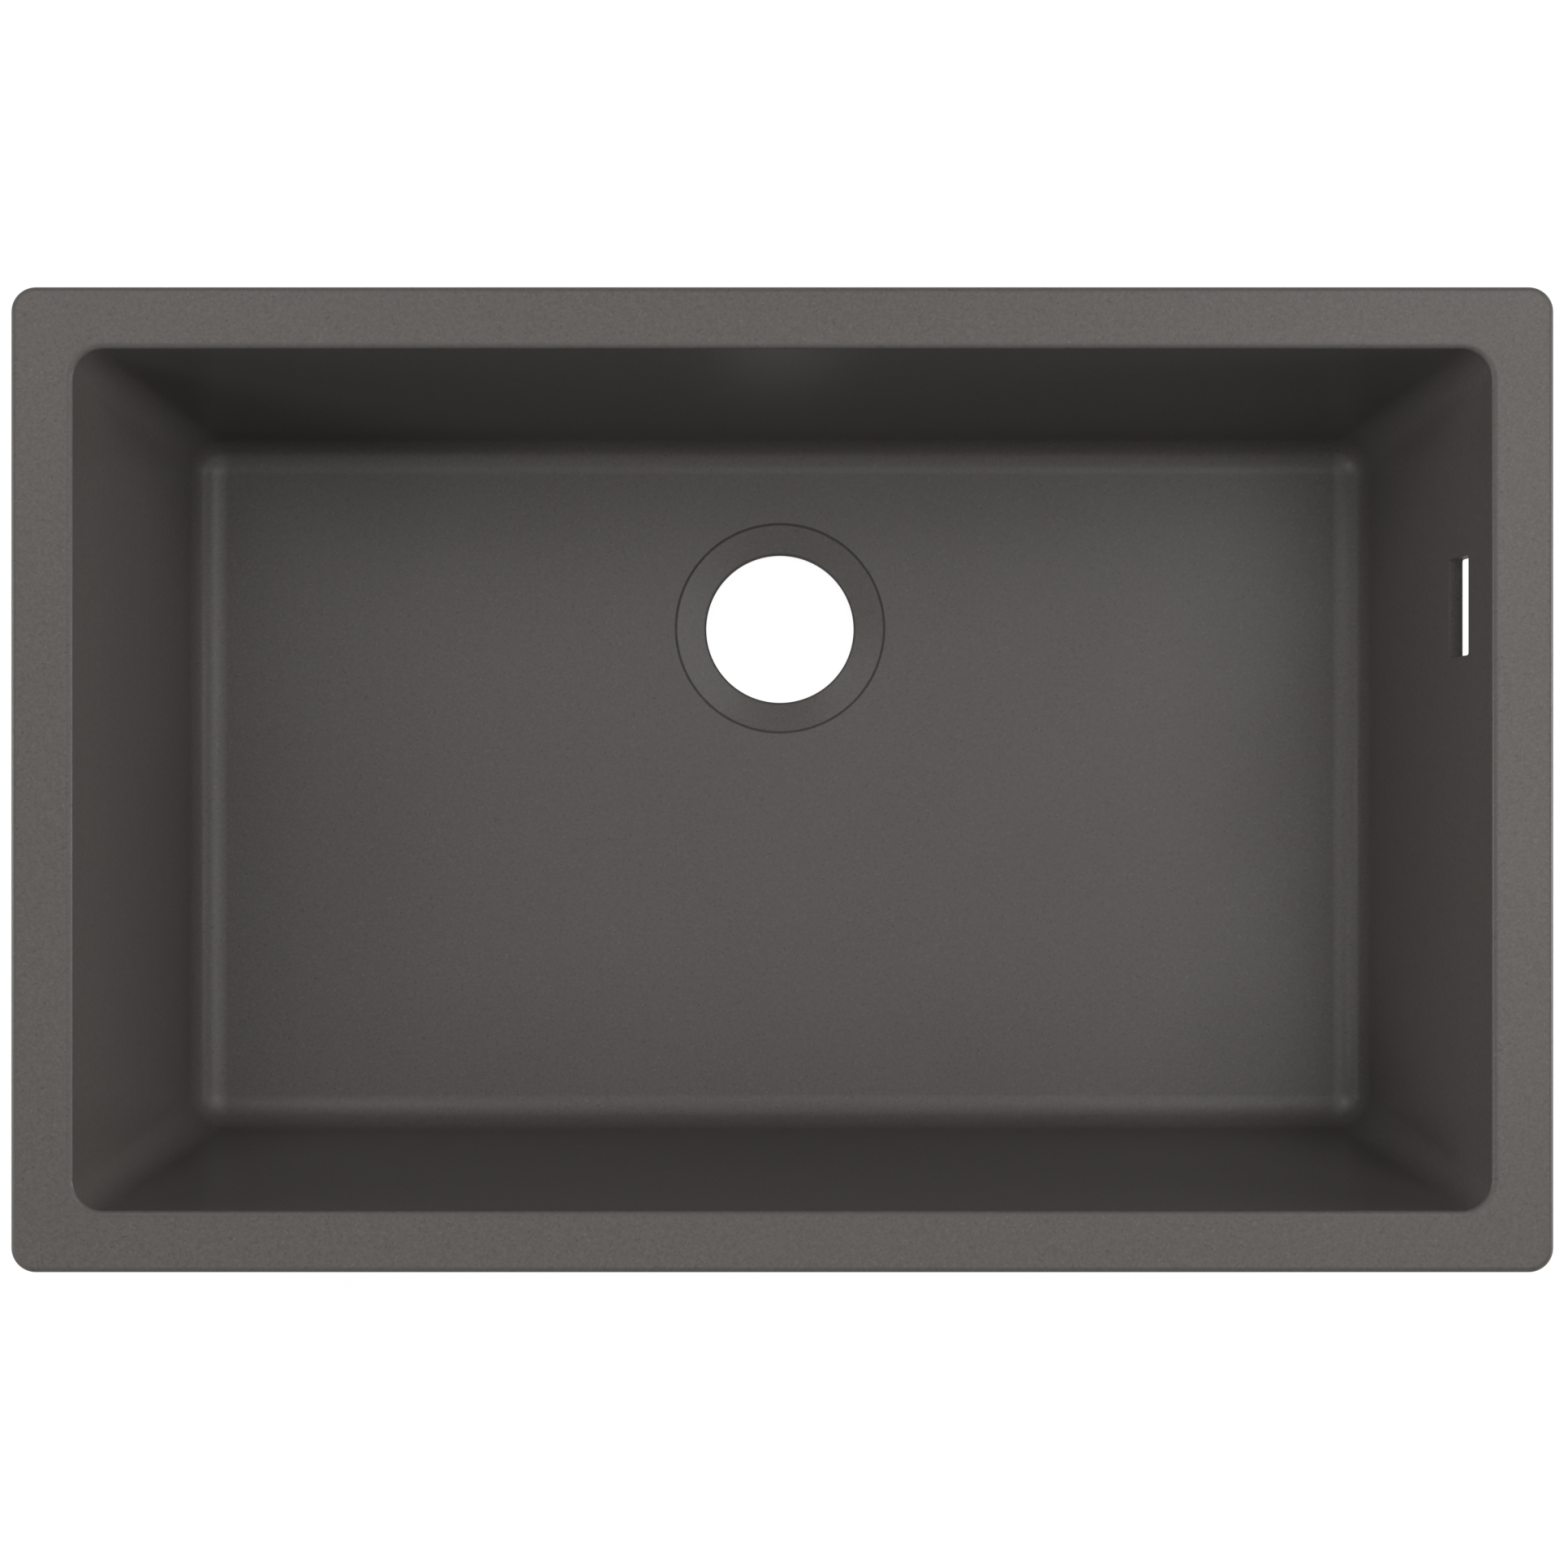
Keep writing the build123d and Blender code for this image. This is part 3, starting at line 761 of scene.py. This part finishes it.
def metal_material(name, clean, tarnished, roughness, grain_per_metre, scuffs_per_metre, scuff_share):
    """A metal whose colour runs from clean to tarnished with the tarnish, and whose roughness runs from the
    first number to the second with the shine."""
    material = bpy.data.materials.new(name)
    material.use_nodes = True
    tree = material.node_tree
    shader = tree.nodes["Principled BSDF"]
    shader.inputs["Metallic"].default_value = 1.0
    surface = tree.nodes.new("ShaderNodeGroup")
    surface.node_tree = handled_metal
    tree.links.new(tree.nodes.new("ShaderNodeTexCoord").outputs["Object"], surface.inputs["Vector"])
    surface.inputs["Grain per Metre"].default_value = grain_per_metre
    surface.inputs["Scuffs per Metre"].default_value = scuffs_per_metre
    surface.inputs["Scuff Share"].default_value = scuff_share
    colour = tree.nodes.new("ShaderNodeValToRGB")
    ends = colour.color_ramp.elements
    ends[0].position, ends[1].position = TARNISH_SPREAD
    ends[0].color, ends[1].color = (*clean, 1.0), (*tarnished, 1.0)
    tree.links.new(surface.outputs["Tarnish"], colour.inputs["Fac"])
    tree.links.new(colour.outputs["Color"], shader.inputs["Base Color"])
    tree.links.new(stretched(tree, surface.outputs["Shine"], roughness), shader.inputs["Roughness"])
    worn = bump(tree, surface.outputs["Height"], METAL_DEPTH, METAL_STRENGTH)
    tree.links.new(worn, shader.inputs["Normal"])
    return material


def finish_nodes(piece, material):
    """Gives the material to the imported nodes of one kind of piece, at all eight stations."""
    for name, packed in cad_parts.items():
        if name.startswith(piece + "_"):
            for slot in packed.material_slots:
                slot.material = material


insert_brass = metal_material(
    "moulded_in_brass",
    clean=(0.72, 0.53, 0.24),
    tarnished=(0.50, 0.36, 0.17),
    roughness=(0.48, 0.30),
    grain_per_metre=2600.0,
    scuffs_per_metre=900.0,
    scuff_share=0.3,
)
finish_nodes("insert", insert_brass)


# ---- Shoulder screws ----
# Eight stainless screws, one in each insert: a thread, a ground 6 mm shoulder that the lug turns on, and a
# domed head with a hexagon socket. They are cold-headed and turned, and the brightest of the metal parts.

screw_steel = metal_material(
    "turned_stainless",
    clean=(0.62, 0.61, 0.59),
    tarnished=(0.52, 0.50, 0.47),
    roughness=(0.36, 0.20),
    grain_per_metre=3200.0,
    scuffs_per_metre=1100.0,
    scuff_share=0.25,
)
finish_nodes("screw", screw_steel)


# ---- Disc springs ----
# Eight dished washers of hardened spring strip, between each lug and its screw's head. They keep the lug
# where it is turned. Heat treatment leaves them darker and browner than the stainless parts.

spring_steel = metal_material(
    "hardened_spring_strip",
    clean=(0.42, 0.40, 0.37),
    tarnished=(0.30, 0.26, 0.21),
    roughness=(0.46, 0.30),
    grain_per_metre=2800.0,
    scuffs_per_metre=800.0,
    scuff_share=0.3,
)
finish_nodes("disc_spring", spring_steel)


# ---- Fixing lugs ----
# Eight flat pressings of 2 mm stainless strip with a stiffening bead, blanked, punched and tumbled. Each
# turns on its screw from along the rim to straight out, where its free hole takes a screw into the worktop.

lug_steel = metal_material(
    "tumbled_stainless_strip",
    clean=(0.60, 0.59, 0.57),
    tarnished=(0.50, 0.485, 0.46),
    roughness=(0.44, 0.27),
    grain_per_metre=1500.0,
    scuffs_per_metre=260.0,
    scuff_share=0.35,
)
finish_nodes("lug", lug_steel)


# ---- Studio floor ----
# A pale matt floor under the sink's base. It shows white to the camera and, except under the bowl, in
# reflections, and it keeps a faint shadow. From underneath it is clear, so that the lugs and the base show.

FLOOR_HALF = 6.0
FLOOR_DROP = 0.5 * MM
FLOOR_PALE = (0.8, 0.8, 0.8, 1.0)
FLOOR_GLOW = 0.93
FLOOR_SHADOW_SHARE = (0.2, 0.2, 0.2, 1.0)
FLOOR_DARK_REACH = 0.45
FLOOR_BASE_REACH = 3 * MM
floor_corners = np.array([(-1, -1), (1, -1), (1, 1), (-1, 1)]) * FLOOR_HALF
floor_mesh = bpy.data.meshes.new("studio_floor")
floor_mesh.from_pydata(at_height(floor_corners, -base_depth - FLOOR_DROP).tolist(), [], [(0, 1, 2, 3)])
floor = bpy.data.objects.new("studio_floor", floor_mesh)
bpy.context.scene.collection.objects.link(floor)

floor_finish = bpy.data.materials.new("pale_studio_floor")
floor_mesh.materials.append(floor_finish)
floor_finish.use_nodes = True
tree = floor_finish.node_tree
tree.nodes.clear()
node, link = tree.nodes.new, tree.links.new
lit = node("ShaderNodeBsdfDiffuse")
lit.inputs["Color"].default_value = FLOOR_PALE
shadow_catch = node("ShaderNodeBsdfDiffuse")
shadow_catch.inputs["Color"].default_value = FLOOR_SHADOW_SHARE
glow = node("ShaderNodeEmission")
glow.inputs["Strength"].default_value = FLOOR_GLOW
seen = node("ShaderNodeAddShader")
link(glow.outputs[0], seen.inputs[0])
link(shadow_catch.outputs[0], seen.inputs[1])

# Reflections show the glow only beyond the bowl's reach, and in the base, which lies just above the floor.
from_middle = node("ShaderNodeVectorMath")
from_middle.operation = "LENGTH"
link(node("ShaderNodeTexCoord").outputs["Object"], from_middle.inputs[0])
ray = node("ShaderNodeLightPath").outputs
beyond_sink = maths(tree, "GREATER_THAN", from_middle.outputs["Value"], FLOOR_DARK_REACH)
from_base = maths(tree, "LESS_THAN", ray["Ray Length"], FLOOR_BASE_REACH)
pale_there = maths(tree, "MAXIMUM", beyond_sink, from_base)
reflected = maths(tree, "MULTIPLY", ray["Is Glossy Ray"], pale_there)
in_view = maths(tree, "MAXIMUM", ray["Is Camera Ray"], ray["Is Transmission Ray"])
by_ray = node("ShaderNodeMixShader")
link(maths(tree, "MAXIMUM", in_view, reflected), by_ray.inputs[0])
link(lit.outputs[0], by_ray.inputs[1])
link(seen.outputs[0], by_ray.inputs[2])
by_side = node("ShaderNodeMixShader")
link(node("ShaderNodeNewGeometry").outputs["Backfacing"], by_side.inputs[0])
link(by_ray.outputs[0], by_side.inputs[1])
link(node("ShaderNodeBsdfTransparent").outputs[0], by_side.inputs[2])
link(by_side.outputs[0], node("ShaderNodeOutputMaterial").inputs["Surface"])


# ---- Studio light ----
# A white room, dim so that the light has a direction, and softboxes above and low at both ends. The room
# shows white to the camera and in reflections.

ROOM_LIGHT = 0.03
ROOM_SEEN = 1.0
world = bpy.data.worlds.new("studio_room")
bpy.context.scene.world = world
world.use_nodes = True
tree = world.node_tree
room = tree.nodes["Background"]
room.inputs["Color"].default_value = (1.0, 1.0, 1.0, 1.0)
ray = tree.nodes.new("ShaderNodeLightPath").outputs
in_view = maths(tree, "MAXIMUM", ray["Is Camera Ray"], ray["Is Transmission Ray"])
seen_room = maths(tree, "MAXIMUM", in_view, ray["Is Glossy Ray"])
tree.links.new(stretched(tree, seen_room, (ROOM_LIGHT, ROOM_SEEN)), room.inputs["Strength"])

BOWL_MIDDLE = Vector((0.0, 0.0, -0.1))


def softbox(name, place, size, watts):
    """A square softbox at a place, turned to face the middle of the bowl."""
    light = bpy.data.lights.new(name, "AREA")
    light.shape, light.size, light.energy = "SQUARE", size, watts
    box = bpy.data.objects.new(name, light)
    bpy.context.scene.collection.objects.link(box)
    box.location = place
    box.rotation_euler = (BOWL_MIDDLE - Vector(place)).to_track_quat("-Z", "Y").to_euler()


softbox("overhead_softbox", place=(0.0, 0.0, 2.4), size=1.2, watts=4.8)
softbox("right_softbox", place=(1.2, 0.0, 2.4), size=1.2, watts=9.2)
softbox("back_right_softbox", place=(1.2, 1.2, 2.4), size=1.2, watts=11.9)
softbox("back_left_softbox", place=(-1.2, 1.2, 2.4), size=1.2, watts=11.5)
softbox("front_left_softbox", place=(-2.4, -1.2, 2.4), size=1.2, watts=14.5)
softbox("low_right_softbox", place=(3.0, 0.0, 0.5), size=0.8, watts=30.0)
softbox("low_left_softbox", place=(-3.0, 0.0, 0.5), size=0.8, watts=21.5)


# ---- Camera ----
# It looks straight down at the sink from 1.27 m above the rim, a little left of its middle and to the front,
# as the photograph was taken. The picture is 1932 pixels square.

PICTURE_PIXELS = 1932
FOCAL_PIXELS = 3367.3
CAMERA_PLACE = (-8.3 * MM, -17.15 * MM, 1274 * MM)
PIXEL_BELOW_LENS = (942, 1006)
camera_data = bpy.data.cameras.new("camera")
camera_data.lens = camera_data.sensor_width * FOCAL_PIXELS / PICTURE_PIXELS
camera_data.shift_x = (PICTURE_PIXELS / 2 - PIXEL_BELOW_LENS[0]) / PICTURE_PIXELS
camera_data.shift_y = (PIXEL_BELOW_LENS[1] - PICTURE_PIXELS / 2) / PICTURE_PIXELS
camera = bpy.data.objects.new("camera", camera_data)
bpy.context.scene.collection.objects.link(camera)
camera.location = CAMERA_PLACE
bpy.context.scene.camera = camera
bpy.context.scene.view_settings.view_transform = "Standard"
